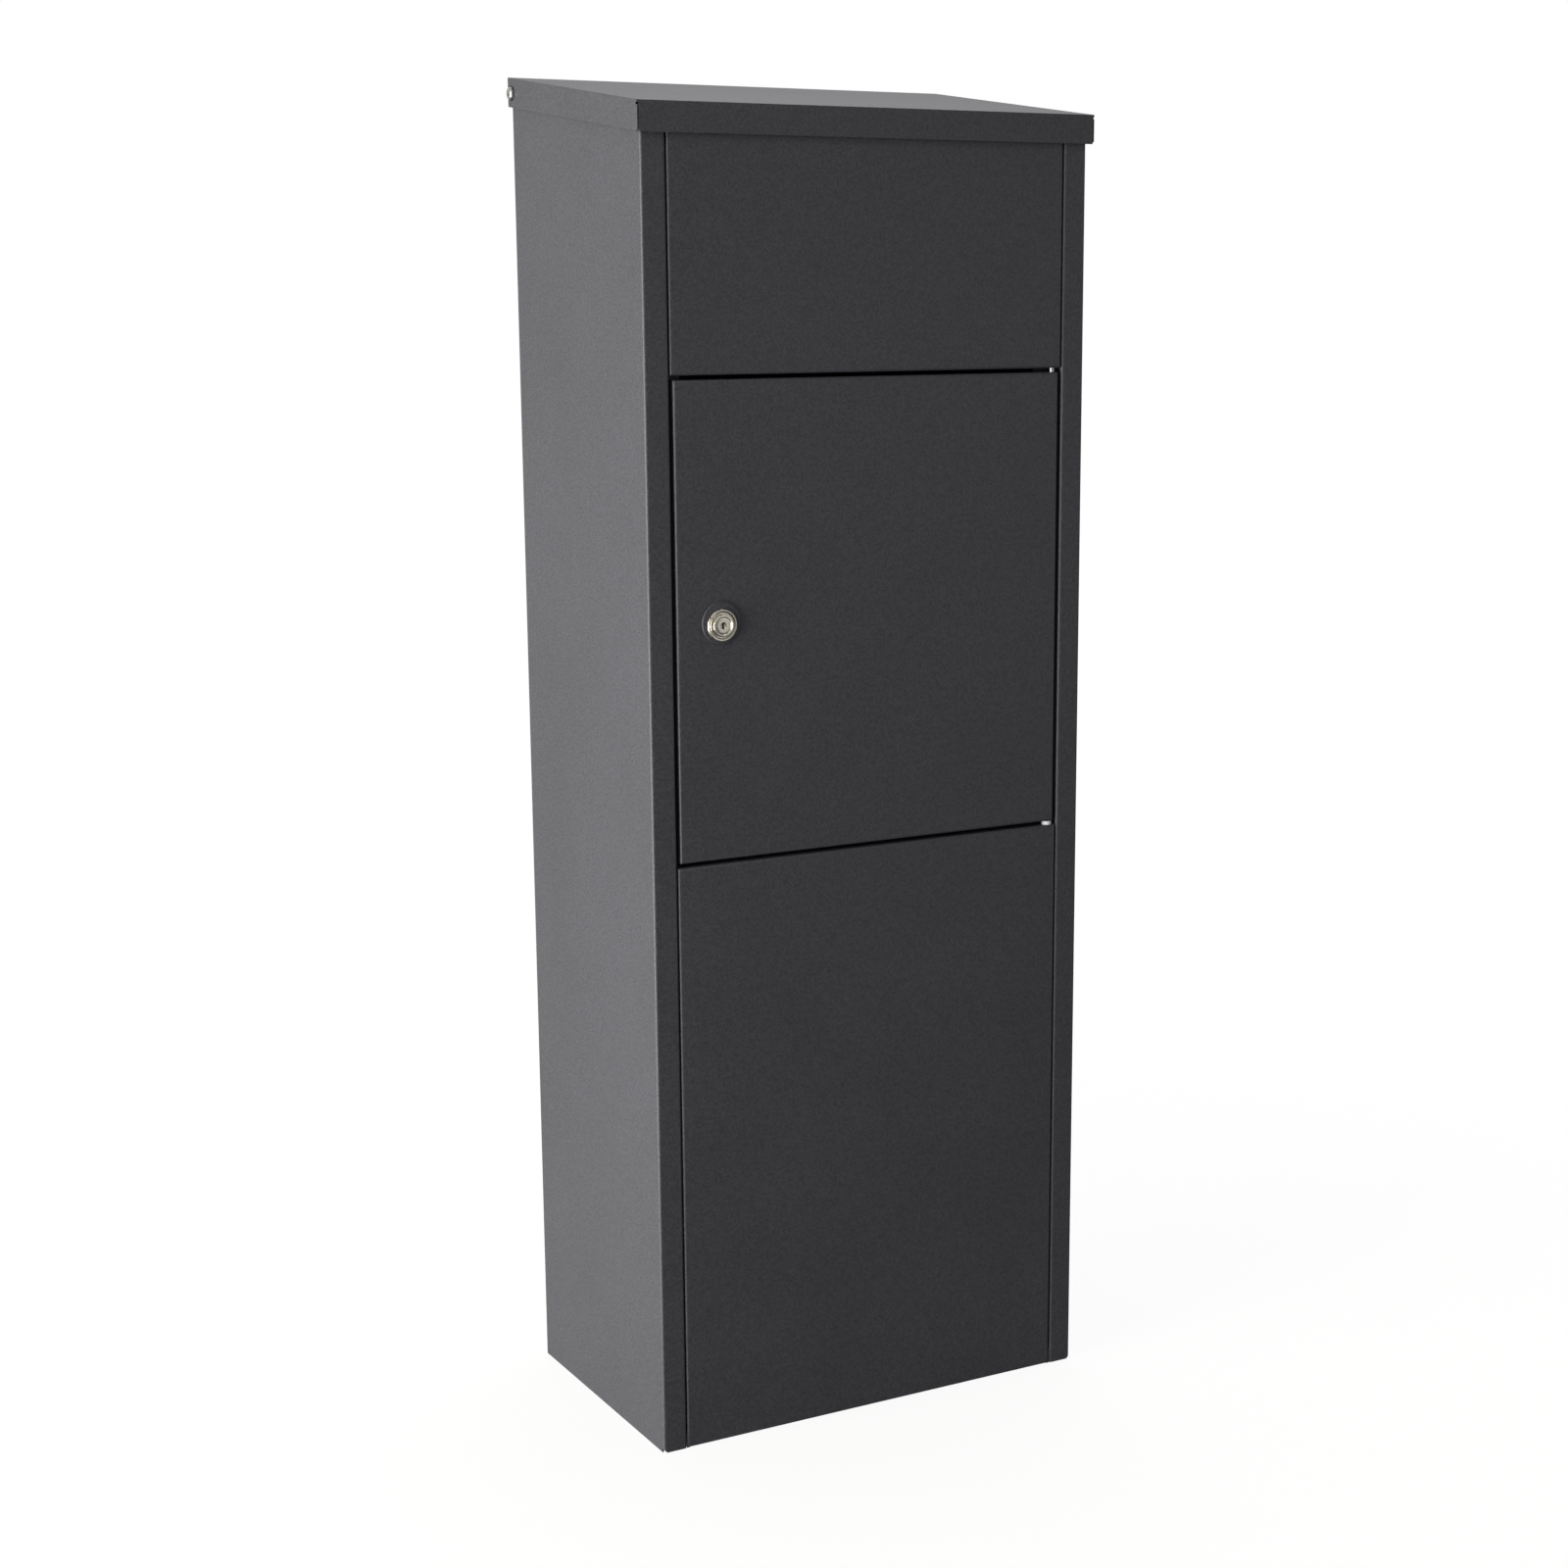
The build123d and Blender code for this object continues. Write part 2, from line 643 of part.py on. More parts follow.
with BuildPart() as lock_body:
    with BuildSketch(Plane.XZ.offset(-front_y)):
        with Locations((lock_x, lock_height)):
            Circle(lock_head_diameter / 2)
    extrude(amount=lock_head_height)
    fillet(lock_body.faces().sort_by(Axis.Y)[0].edges(), half_sheet)
    with BuildSketch(Plane.XZ.offset(-front_y + lock_head_height)):
        with Locations((lock_x, lock_height)):
            Circle(lock_rim_diameter / 2)
    extrude(amount=lock_rim_height)
    chamfer(lock_body.faces().sort_by(Axis.Y)[0].edges(), half_sheet)
    with BuildSketch(Plane.XZ.offset(-front_y)):
        with Locations((lock_x, lock_height)):
            Circle(barrel_diameter / 2)
            Rectangle(barrel_flats, barrel_diameter * 2, mode=Mode.INTERSECT)
    extrude(amount=front_y - barrel_back_y)
    with BuildSketch(Plane.XZ.offset(-barrel_back_y)):
        with Locations((lock_x, lock_height)):
            Circle(plug_diameter / 2 + running_fit)
    extrude(amount=2 * door_depth + barrel_diameter, mode=Mode.SUBTRACT)
lock_body.part.label = "lock_body"
export_step(lock_body.part, "parts/lock_body.step")

with BuildPart() as lock_nut:
    with BuildSketch(Plane.XZ.offset(-front_y - sheet)):
        with Locations((lock_x, lock_height)):
            RegularPolygon(lock_nut_width / 2, 6, major_radius=False)
            Circle(barrel_diameter / 2 + running_fit, mode=Mode.SUBTRACT)
    extrude(amount=-lock_nut_height)
lock_nut.part.label = "lock_nut"
export_step(lock_nut.part, "parts/lock_nut.step")

plug_front_y = front_y - lock_head_height - lock_rim_height + half_sheet
cam_back_y = cam_front_y + cam_thickness
with BuildPart() as lock_plug:
    with BuildSketch(Plane.XZ.offset(-cam_front_y)):
        with Locations((lock_x, lock_height)):
            Circle(plug_diameter / 2)
    extrude(amount=cam_front_y - plug_front_y)
    with BuildSketch(Plane.XZ.offset(-cam_front_y)):
        with Locations((lock_x, lock_height)):
            Rectangle(stub_square, stub_square)
    extrude(amount=-cam_thickness)
    with BuildSketch(Plane.XZ.offset(-plug_front_y)):
        with Locations((lock_x, lock_height)):
            SlotOverall(key_slot_height, key_slot_width, rotation=90)
    extrude(amount=-key_slot_depth, mode=Mode.SUBTRACT)
    with BuildSketch(Plane.XZ.offset(-cam_back_y)):
        with Locations((lock_x, lock_height)):
            Circle(cam_screw_diameter / 2 + running_fit)
    extrude(amount=cam_screw_depth, mode=Mode.SUBTRACT)
lock_plug.part.label = "lock_plug"
export_step(lock_plug.part, "parts/lock_plug.step")

with BuildPart() as lock_cam:
    with BuildSketch(Plane.XZ.offset(-cam_front_y)):
        with Locations((lock_x, lock_height)):
            Circle(cam_width / 2)
        with Locations((lock_x, lock_height - cam_length / 2)):
            Rectangle(cam_width, cam_length)
    extrude(amount=-cam_thickness)
    fillet(lock_cam.edges().filter_by(Axis.Y).group_by(Axis.Z)[0], cam_width / 4)
    with BuildSketch(Plane.XZ.offset(-cam_front_y)):
        with Locations((lock_x, lock_height)):
            Rectangle(stub_square + 2 * running_fit, stub_square + 2 * running_fit)
    extrude(amount=-cam_thickness, mode=Mode.SUBTRACT)
lock_cam.part.label = "lock_cam"
export_step(lock_cam.part, "parts/lock_cam.step")

with BuildPart() as cam_washer:
    with BuildSketch(Plane.XZ.offset(-cam_back_y)):
        with Locations((lock_x, lock_height)):
            Circle(cam_washer_diameter / 2)
            Circle(cam_screw_diameter / 2 + running_fit, mode=Mode.SUBTRACT)
    extrude(amount=-cam_washer_thickness)
cam_washer.part.label = "cam_washer"
export_step(cam_washer.part, "parts/cam_washer.step")

screw_seat_y = cam_back_y + cam_washer_thickness
with BuildPart() as cam_screw:
    with BuildSketch(Plane.XZ.offset(-screw_seat_y)):
        with Locations((lock_x, lock_height)):
            Circle(cam_screw_head / 2)
    extrude(amount=-cam_screw_head_height)
    fillet(cam_screw.faces().sort_by(Axis.Y)[-1].edges(), cam_screw_head_height / 2)
    with BuildSketch(Plane.XZ.offset(-screw_seat_y - cam_screw_head_height)):
        with Locations((lock_x, lock_height)):
            Rectangle(cam_screw_diameter, sheet)
            Rectangle(sheet, cam_screw_diameter)
    extrude(amount=cam_screw_head_height / 2, mode=Mode.SUBTRACT)
    with BuildSketch(Plane.XZ.offset(-screw_seat_y)):
        with Locations((lock_x, lock_height)):
            Circle(cam_screw_diameter / 2)
    extrude(amount=cam_washer_thickness + cam_screw_depth - soft_gap)
cam_screw.part.label = "cam_screw"
export_step(cam_screw.part, "parts/cam_screw.step")
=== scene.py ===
import bmesh
import bpy
import json
from collections import namedtuple
from math import copysign, cos, pi, radians, sin, sqrt
from mathutils import Matrix, Vector


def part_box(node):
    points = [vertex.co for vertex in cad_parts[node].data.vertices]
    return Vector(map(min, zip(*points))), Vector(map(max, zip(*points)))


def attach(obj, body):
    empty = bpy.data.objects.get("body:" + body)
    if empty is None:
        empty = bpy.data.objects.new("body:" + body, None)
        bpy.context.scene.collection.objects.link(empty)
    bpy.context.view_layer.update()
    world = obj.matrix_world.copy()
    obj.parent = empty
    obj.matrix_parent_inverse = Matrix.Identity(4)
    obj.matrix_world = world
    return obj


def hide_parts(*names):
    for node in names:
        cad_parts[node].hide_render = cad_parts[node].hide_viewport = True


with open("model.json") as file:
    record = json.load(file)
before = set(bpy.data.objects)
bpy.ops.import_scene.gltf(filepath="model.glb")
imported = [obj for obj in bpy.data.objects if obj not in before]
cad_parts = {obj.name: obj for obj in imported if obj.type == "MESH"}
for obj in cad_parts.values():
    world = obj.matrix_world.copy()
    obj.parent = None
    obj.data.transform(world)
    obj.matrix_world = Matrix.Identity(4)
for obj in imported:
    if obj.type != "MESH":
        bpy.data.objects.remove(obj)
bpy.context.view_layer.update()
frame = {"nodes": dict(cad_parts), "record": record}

# The looks of a parcel drop box: its pieces, its stage, its lights and its camera.
# Lengths are in metres, in the frame of the CAD nodes, and sizes that end in _mm are in millimetres.
MM = 0.001
SAME_PLACE = 0.001 * MM        # corners closer than this are one corner

nodes = frame["nodes"]
scene = bpy.context.scene


# ---------------------------------------------------------------- colour and node helpers

def linear(hex_colour):
    """sRGB hex to the linear colour that a shader socket takes."""
    parts = [int(hex_colour[i:i + 2], 16) / 255 for i in (1, 3, 5)]
    flat = [c / 12.92 if c <= 0.04045 else ((c + 0.055) / 1.055) ** 2.4 for c in parts]
    return (*flat, 1.0)


def add_node(tree, kind, settings=None, inputs=None):
    """Add one node, set its properties and its inputs: a value, or a socket to link from."""
    node = tree.nodes.new(kind)
    for name, value in (settings or {}).items():
        setattr(node, name, value)
    for name, value in (inputs or {}).items():
        if isinstance(value, bpy.types.NodeSocket):
            tree.links.new(value, node.inputs[name])
        else:
            node.inputs[name].default_value = value
    return node


def new_material(name):
    """An empty material with its output node: returns the material, its tree and the output."""
    material = bpy.data.materials.new(name)
    material.use_nodes = True
    tree = material.node_tree
    tree.nodes.clear()
    return material, tree, add_node(tree, "ShaderNodeOutputMaterial")


def per_metre(size_mm):
    """Texture scale for a pattern whose features are size_mm across."""
    return 1000 / size_mm


# ---------------------------------------------------------------- materials

def powder_coated_steel():
    """Anthracite polyester powder coat, oven cured: matt, with a fine even grain."""
    material, tree, output = new_material("powder_coated_steel")
    # Powder grain is about 0.3 mm; it is drawn coarser, at 1.6 mm, so that it shows.
    grain_mm = 1.6
    # Orange peel left by the melt: low waves a few centimetres long.
    peel_mm = 28
    # The coat lies a little thicker here and there, which shows as broad faint clouds.
    cloud_mm = 110
    place = add_node(tree, "ShaderNodeTexCoord").outputs["Object"]
    grain = add_node(tree, "ShaderNodeTexNoise", inputs={
        "Vector": place, "Scale": per_metre(grain_mm), "Detail": 3.0, "Roughness": 0.7})
    peel = add_node(tree, "ShaderNodeTexNoise", inputs={
        "Vector": place, "Scale": per_metre(peel_mm), "Detail": 1.0, "Roughness": 0.5})
    clouds = add_node(tree, "ShaderNodeTexNoise", inputs={
        "Vector": place, "Scale": per_metre(cloud_mm), "Detail": 3.0, "Roughness": 0.55})
    tone = add_node(tree, "ShaderNodeValToRGB", inputs={"Fac": grain.outputs["Fac"]})
    tone.color_ramp.elements[0].position = 0.3
    tone.color_ramp.elements[0].color = linear("#2b2b31")
    tone.color_ramp.elements[1].position = 0.7
    tone.color_ramp.elements[1].color = linear("#44444b")
    depth = add_node(tree, "ShaderNodeMapRange", inputs={
        "Value": clouds.outputs["Fac"], "From Min": 0.3, "From Max": 0.7, "To Min": 0.94, "To Max": 1.06})
    coat = add_node(tree, "ShaderNodeVectorMath", {"operation": "SCALE"}, {
        "Vector": tone.outputs["Color"], "Scale": depth.outputs["Result"]})
    rough = add_node(tree, "ShaderNodeMapRange", inputs={
        "Value": clouds.outputs["Fac"], "From Min": 0.3, "From Max": 0.7, "To Min": 0.51, "To Max": 0.54})
    waves = add_node(tree, "ShaderNodeBump", inputs={
        "Height": peel.outputs["Fac"], "Strength": 0.06, "Distance": 1.2 * MM})
    skin = add_node(tree, "ShaderNodeBump", inputs={
        "Height": grain.outputs["Fac"], "Strength": 0.55, "Distance": 0.16 * MM,
        "Normal": waves.outputs["Normal"]})
    shader = add_node(tree, "ShaderNodeBsdfPrincipled", inputs={
        "Base Color": coat.outputs["Vector"], "Roughness": rough.outputs["Result"],
        "IOR": 1.5, "Normal": skin.outputs["Normal"]})
    tree.links.new(shader.outputs["BSDF"], output.inputs["Surface"])
    return material


def metal(name, light, dark, roughness, grain_mm, bump_mm):
    """Bare or plated metal: light and dark are the two tones of its patches.

    grain_mm is the size of the patches, drawn coarser than the metal's own grain so that they show.
    """
    spread = 0.2
    material, tree, output = new_material(name)
    place = add_node(tree, "ShaderNodeTexCoord").outputs["Object"]
    grain = add_node(tree, "ShaderNodeTexNoise", inputs={
        "Vector": place, "Scale": per_metre(grain_mm), "Detail": 3.0, "Roughness": 0.6})
    tone = add_node(tree, "ShaderNodeValToRGB", inputs={"Fac": grain.outputs["Fac"]})
    tone.color_ramp.elements[0].position = 0.35
    tone.color_ramp.elements[0].color = linear(dark)
    tone.color_ramp.elements[1].position = 0.65
    tone.color_ramp.elements[1].color = linear(light)
    rough = add_node(tree, "ShaderNodeMapRange", inputs={
        "Value": grain.outputs["Fac"], "From Min": 0.3, "From Max": 0.7,
        "To Min": roughness * (1 - spread), "To Max": roughness * (1 + spread)})
    skin = add_node(tree, "ShaderNodeBump", inputs={
        "Height": grain.outputs["Fac"], "Strength": 0.3, "Distance": bump_mm * MM})
    shader = add_node(tree, "ShaderNodeBsdfPrincipled", inputs={
        "Base Color": tone.outputs["Color"], "Metallic": 1.0,
        "Roughness": rough.outputs["Result"], "Normal": skin.outputs["Normal"]})
    tree.links.new(shader.outputs["BSDF"], output.inputs["Surface"])
    return material


def polymer(name, light, dark, roughness, grain_mm, ior):
    """Moulded plastic or rubber: light and dark are the two tones of the skin that the mould leaves.

    grain_mm is the size of that skin's texture, drawn coarser than the real one so that it shows.
    """
    skin_depth = 0.05 * MM
    material, tree, output = new_material(name)
    place = add_node(tree, "ShaderNodeTexCoord").outputs["Object"]
    grain = add_node(tree, "ShaderNodeTexNoise", inputs={
        "Vector": place, "Scale": per_metre(grain_mm), "Detail": 2.0, "Roughness": 0.5})
    tone = add_node(tree, "ShaderNodeMix", {"data_type": "RGBA"}, {
        0: grain.outputs["Fac"], 6: linear(dark), 7: linear(light)})
    skin = add_node(tree, "ShaderNodeBump", inputs={
        "Height": grain.outputs["Fac"], "Strength": 0.3, "Distance": skin_depth})
    shader = add_node(tree, "ShaderNodeBsdfPrincipled", inputs={
        "Base Color": tone.outputs[2], "Roughness": roughness, "IOR": ior,
        "Normal": skin.outputs["Normal"]})
    tree.links.new(shader.outputs["BSDF"], output.inputs["Surface"])
    return material


SLOTS = {
    "powder_coat": powder_coated_steel(),
    # Nickel plate on a die-cast lock, polished: pale and warm, with soft bright highlights.
    "nickel_plate": metal(
        "polished_nickel_plate", light="#dbd6ca", dark="#cfcabe", roughness=0.3, grain_mm=3.0, bump_mm=0.001),
    # Stainless steel, cold headed or turned: plain grey, with blurred highlights.
    "stainless_steel": metal(
        "stainless_steel", light="#c2c2c0", dark="#aeaeac", roughness=0.34, grain_mm=1.2, bump_mm=0.004),
    # Zinc plate with a clear passivation: bluish white, with a faint cloudy spangle.
    "zinc_steel": metal(
        "bright_zinc_plate", light="#c9ccd0", dark="#a3a8ae", roughness=0.34, grain_mm=2.5, bump_mm=0.01),
    # Aluminium as it is headed, unpolished: pale and satin.
    "aluminium_rivet": metal(
        "plain_aluminium", light="#d8d8d8", dark="#bcbcbc", roughness=0.4, grain_mm=0.8, bump_mm=0.01),
    # Natural nylon, moulded: milky bluish white, with a faint sheen.
    "white_nylon": polymer(
        "natural_nylon", light="#d4d8dc", dark="#c6cacf", roughness=0.5, grain_mm=1.5, ior=1.53),
    # Black nylon, moulded: nearly black and half matt.
    "black_nylon": polymer(
        "black_nylon", light="#26262a", dark="#1b1b1d", roughness=0.5, grain_mm=1.5, ior=1.53),
    # Black rubber, moulded: dull, with almost no highlight.
    "black_rubber": polymer(
        "black_rubber", light="#242424", dark="#191919", roughness=0.7, grain_mm=1.0, ior=1.52),
}

for entry in frame["record"]["subparts"]:
    mesh = nodes[entry["node"]].data
    mesh.materials.clear()
    mesh.materials.append(SLOTS[entry["material_slot"]])

BODY_OF = {name: body for body, names in frame["record"]["behaviour"]["bodies"].items() for name in names}
SLOT_OF = {entry["node"]: entry["material_slot"] for entry in frame["record"]["subparts"]}
LID_TOP = max(nodes["lid_panel"].data.polygons, key=lambda face: face.area).normal
LID_NORMAL = LID_TOP * copysign(1, LID_TOP.z)
DOWN_FROM_LID = -LID_NORMAL
FRONT = Vector((0, -1, 0))
UP = Vector((0, 0, 1))


# ---------------------------------------------------------------- mesh helpers

def clean_copy(node):
    """The node's surface as a bmesh with shared corners, and each flat face in one piece."""
    flat_within = radians(0.4)
    shape = bmesh.new()
    shape.from_mesh(nodes[node].data)
    bmesh.ops.remove_doubles(shape, verts=shape.verts, dist=SAME_PLACE)
    bmesh.ops.dissolve_limit(shape, angle_limit=flat_within, verts=shape.verts, edges=shape.edges)
    return shape


def new_piece(name, mesh):
    """A mesh as an object in the scene, at the origin."""
    piece = bpy.data.objects.new(name, mesh)
    scene.collection.objects.link(piece)
    return piece


def apply_modifiers(piece):
    """Keep what the piece's modifiers make as its plain mesh."""
    bpy.context.view_layer.update()
    finished = piece.evaluated_get(bpy.context.evaluated_depsgraph_get())
    mesh = bpy.data.meshes.new_from_object(finished)
    piece.modifiers.clear()
    piece.data = mesh
    return mesh


def take_place(piece, node):
    """The piece rides with the body of the CAD node that it stands for, and that node is hidden."""
    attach(piece, BODY_OF[node])
    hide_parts(node)


def drop_slivers(mesh):
    """Make the mesh triangles, without what a cut can leave: two faces that lie on each other."""
    shape = bmesh.new()
    shape.from_mesh(mesh)
    bmesh.ops.remove_doubles(shape, verts=shape.verts, dist=SAME_PLACE)
    bmesh.ops.dissolve_degenerate(shape, edges=shape.edges, dist=SAME_PLACE)
    bmesh.ops.triangulate(shape, faces=shape.faces)
    on_corners = {}
    for face in shape.faces:
        on_corners.setdefault(frozenset(face.verts), []).append(face)
    doubled = [face for faces in on_corners.values() if len(faces) > 1 for face in faces]
    bmesh.ops.delete(shape, geom=doubled, context="FACES")
    shape.to_mesh(mesh)
    shape.free()


def softened(node, name, edge_mm, cutters=()):
    """Finish the node's own shape: its edges rounded off over edge_mm, then cut by the cutters."""
    least_turn, crease = radians(40), radians(50)
    shape = clean_copy(node)
    sharp = [e for e in shape.edges if len(e.link_faces) == 2 and e.calc_face_angle(0) > least_turn]
    bmesh.ops.bevel(shape, geom=sharp, offset=edge_mm * MM, segments=2, profile=0.5,
                    affect="EDGES", clamp_overlap=False)
    mesh = bpy.data.meshes.new(name)
    shape.to_mesh(mesh)
    shape.free()
    mesh.materials.append(SLOTS[SLOT_OF[node]])
    mesh.shade_smooth()
    mesh.set_sharp_from_angle(angle=crease)
    piece = new_piece(name, mesh)
    for cutter in cutters:
        cut = piece.modifiers.new("cut", "BOOLEAN")
        cut.operation = "DIFFERENCE"
        cut.solver = "EXACT"
        cut.object = cutter
    apply_modifiers(piece)
    drop_slivers(piece.data)
    weigh = piece.modifiers.new("flat_faces", "WEIGHTED_NORMAL")
    weigh.keep_sharp = True
    apply_modifiers(piece)
    take_place(piece, node)


Solid = namedtuple("Solid", "middle facing length radius")


def solids(node, axis=None):
    """Each solid of a node, with its length the way that it faces and its radius about that way.

    Without an axis, a solid faces out from the middle of the box to its own side.
    """
    shape = clean_copy(node)
    left = set(shape.verts)
    found = []
    while left:
        island, to_visit = [], [left.pop()]
        while to_visit:
            vert = to_visit.pop()
            island.append(vert.co.copy())
            near = {e.other_vert(vert) for e in vert.link_edges} & left
            left -= near
            to_visit += near
        low = Vector([min(c[i] for c in island) for i in range(3)])
        high = Vector([max(c[i] for c in island) for i in range(3)])
        middle = (low + high) / 2
        facing = axis or Vector((copysign(1, middle.x), 0, 0))
        along = [(c - middle).dot(facing) for c in island]
        radius = max((c - middle - facing * t).length for c, t in zip(island, along))
        found.append(Solid(middle, facing, max(along) - min(along), radius))
    shape.free()
    return found


# ---------------------------------------------------------------- turned pieces, by Geometry Nodes

def turned_tree(name, sizes, rings, sides=6, segments=36):
    """A tree that turns an outline about Z and sets one at each point of the mesh it is given.

    sizes are the named inputs. Each ring of the outline is (size, share) for its radius, (size, share)
    for its height, and then the size that is half its width across flats, or None where it is round.
    """
    tree = bpy.data.node_groups.new(name, "GeometryNodeTree")
    tree.interface.new_socket("Geometry", in_out="INPUT", socket_type="NodeSocketGeometry")
    for size in sizes:
        tree.interface.new_socket(size, in_out="INPUT", socket_type="NodeSocketFloat")
    tree.interface.new_socket("Material", in_out="INPUT", socket_type="NodeSocketMaterial")
    tree.interface.new_socket("Geometry", in_out="OUTPUT", socket_type="NodeSocketGeometry")
    given = add_node(tree, "NodeGroupInput").outputs

    index = add_node(tree, "GeometryNodeInputIndex").outputs["Index"]
    row = add_node(tree, "ShaderNodeMath", {"operation": "DIVIDE"}, {0: index, 1: segments + 1})
    ring = add_node(tree, "ShaderNodeMath", {"operation": "FLOOR"}, {0: row.outputs[0]})
    step = add_node(tree, "ShaderNodeMath", {"operation": "MODULO"}, {0: index, 1: segments + 1})
    angle = add_node(tree, "ShaderNodeMath", {"operation": "MULTIPLY"},
                     {0: step.outputs[0], 1: 2 * pi / segments})
    picks = []
    for part in ("radius", "height", "flats"):
        pick = add_node(tree, "GeometryNodeIndexSwitch", {"data_type": "FLOAT", "label": part},
                        {"Index": ring.outputs[0]})
        while len(pick.index_switch_items) < len(rings):
            pick.index_switch_items.new()
        picks.append(pick)
    for i, (radius, height, flats) in enumerate(rings):
        for pick, (size, share) in zip(picks, (radius, height)):
            value = add_node(tree, "ShaderNodeMath", {"operation": "MULTIPLY"},
                             {0: given[size], 1: share})
            tree.links.new(value.outputs[0], pick.inputs[i + 1])
        if flats:
            tree.links.new(given[flats], picks[2].inputs[i + 1])
        else:
            picks[2].inputs[i + 1].default_value = 1.0
    # Across flats, the edge lies at half the width over the cosine of the turn from the flat's middle.
    turn = add_node(tree, "ShaderNodeMath", {"operation": "MODULO"},
                    {0: angle.outputs[0], 1: 2 * pi / sides})
    off_middle = add_node(tree, "ShaderNodeMath", {"operation": "SUBTRACT"},
                          {0: turn.outputs[0], 1: pi / sides})
    cosine = add_node(tree, "ShaderNodeMath", {"operation": "COSINE"}, {0: off_middle.outputs[0]})
    above_zero = add_node(tree, "ShaderNodeMath", {"operation": "MAXIMUM"}, {0: cosine.outputs[0], 1: 0.01})
    flat_reach = add_node(tree, "ShaderNodeMath", {"operation": "DIVIDE"},
                          {0: picks[2].outputs[0], 1: above_zero.outputs[0]})
    reach = add_node(tree, "ShaderNodeMath", {"operation": "MINIMUM"},
                     {0: picks[0].outputs[0], 1: flat_reach.outputs[0]})
    outline = add_node(tree, "ShaderNodeCombineXYZ",
                       inputs={"X": reach.outputs[0], "Z": picks[1].outputs[0]})
    place = add_node(tree, "ShaderNodeVectorRotate", {"rotation_type": "Z_AXIS"},
                     {"Vector": outline.outputs[0], "Angle": angle.outputs[0]})
    skin = add_node(tree, "GeometryNodeMeshGrid",
                    inputs={"Vertices X": len(rings), "Vertices Y": segments + 1})
    shaped = add_node(tree, "GeometryNodeSetPosition",
                      inputs={"Geometry": skin.outputs["Mesh"], "Position": place.outputs[0]})
    outward = add_node(tree, "GeometryNodeFlipFaces", inputs={"Mesh": shaped.outputs[0]})
    closed = add_node(tree, "GeometryNodeMergeByDistance",
                      inputs={"Geometry": outward.outputs[0], "Distance": SAME_PLACE})

    facing = add_node(tree, "GeometryNodeInputNamedAttribute",
                      {"data_type": "FLOAT_VECTOR"}, {"Name": "turn"})
    copies = add_node(tree, "GeometryNodeInstanceOnPoints", inputs={
        "Points": given["Geometry"], "Instance": closed.outputs[0], "Rotation": facing.outputs["Attribute"]})
    real = add_node(tree, "GeometryNodeRealizeInstances", inputs={"Geometry": copies.outputs[0]})
    finished = add_node(tree, "GeometryNodeSetMaterial", inputs={
        "Geometry": real.outputs[0], "Material": given["Material"]})
    add_node(tree, "NodeGroupOutput", inputs={"Geometry": finished.outputs[0]})
    return tree


def set_turned(name, tree, sizes, places, node):
    """One piece: what the tree makes at each place, which is a point and the way it faces."""
    crease = radians(32)
    mesh = bpy.data.meshes.new(name + "_seats")
    mesh.from_pydata([point for point, facing in places], [], [])
    turns = [facing.to_track_quat("Z", "Y").to_euler() for point, facing in places]
    mesh.attributes.new("turn", "FLOAT_VECTOR", "POINT").data.foreach_set(
        "vector", [value for turn in turns for value in turn])
    piece = new_piece(name, mesh)
    maker = piece.modifiers.new("turned", "NODES")
    maker.node_group = tree
    inputs = {item.name: item.identifier for item in tree.interface.items_tree if item.in_out == "INPUT"}
    for size, value in sizes.items():
        maker[inputs[size]] = value
    maker[inputs["Material"]] = SLOTS[SLOT_OF[node]]
    mesh = apply_modifiers(piece)
    mesh.name = name
    mesh.shade_smooth()
    mesh.set_sharp_from_angle(angle=crease)
    take_place(piece, node)


def thread(radius, length, start, end, turns, flats=None):
    """Rings of a rolled thread between two shares of a length, a crest and a root for each turn."""
    root = 0.88
    step = (end - start) / turns
    rings = []
    for i in range(turns):
        rings.append(((radius, 1.0), (length, start + i * step), flats))
        rings.append(((radius, root), (length, start + (i + 0.5) * step), flats))
    return rings


def dome(radius, height, low, flat_share, steps):
    """Rings of a dome that rises from the share low of its height to a flat top."""
    rings = []
    for i in range(steps + 1):
        rise = radians(90) * i / steps
        share = flat_share + (1 - flat_share) * cos(rise)
        rings.append(((radius, share), (height, low + (1 - low) * sin(rise)), None))
    return rings


def rounded(radius, height, low, high, inner_share, steps):
    """Rings of an outer edge that is rounded from the share low to the share high of its height."""
    rings = []
    for i in range(steps + 1):
        turn = radians(90) * i / steps
        share = inner_share + (1 - inner_share) * cos(turn)
        rings.append(((radius, share), (height, low + (high - low) * sin(turn)), None))
    return rings


NUT = turned_tree("hex_nut", ("Radius", "Half Width", "Bore", "Height"), [
    (("Bore", 1.0), ("Height", 0.06), None),
    (("Bore", 1.12), ("Height", 0.0), None),
    (("Half Width", 0.97), ("Height", 0.0), None),
    (("Radius", 1.0), ("Height", 0.12), "Half Width"),
    (("Radius", 1.0), ("Height", 0.86), "Half Width"),
    (("Half Width", 0.97), ("Height", 1.0), None),
    (("Bore", 1.12), ("Height", 1.0), None),
    (("Bore", 1.0), ("Height", 0.94), None),
    (("Bore", 1.0), ("Height", 0.06), None)])

